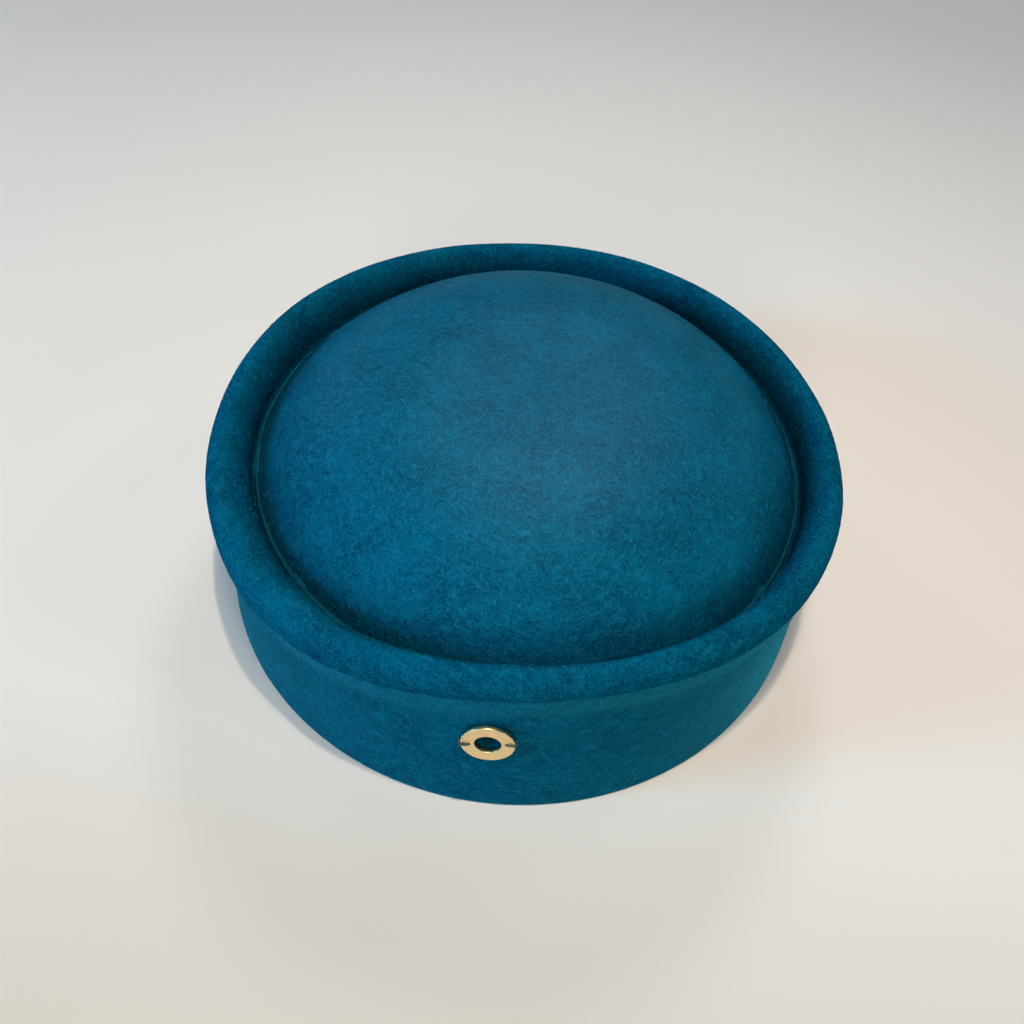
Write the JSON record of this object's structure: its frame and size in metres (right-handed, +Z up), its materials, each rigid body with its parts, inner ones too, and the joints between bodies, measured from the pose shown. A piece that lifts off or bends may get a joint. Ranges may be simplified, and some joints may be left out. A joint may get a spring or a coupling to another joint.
{
  "type": "wool felt hat",
  "caption": "Brimless blocked wool felt hat with a domed crown sunk inside a rolled top edge, a straight side wall and a small flat ring sewn to the front.",
  "frame": {"origin": "under the middle of the hat's box, on the surface that the rim stands on", "axes": "+Z up through the crown, -Y towards the front with the ring, +X to the right of someone facing the front"},
  "size_m": [0.1808, 0.2074, 0.0625],
  "materials": {
    "felt": "matte short-napped wool felt, teal",
    "gold_ring": "polished pale gold plate with a brushed face",
    "thread": "dark teal sewing thread"
  },
  "bodies": {
    "root": {"felt_body": "felt", "ring_badge": "gold_ring"}
  },
  "joints": []
}
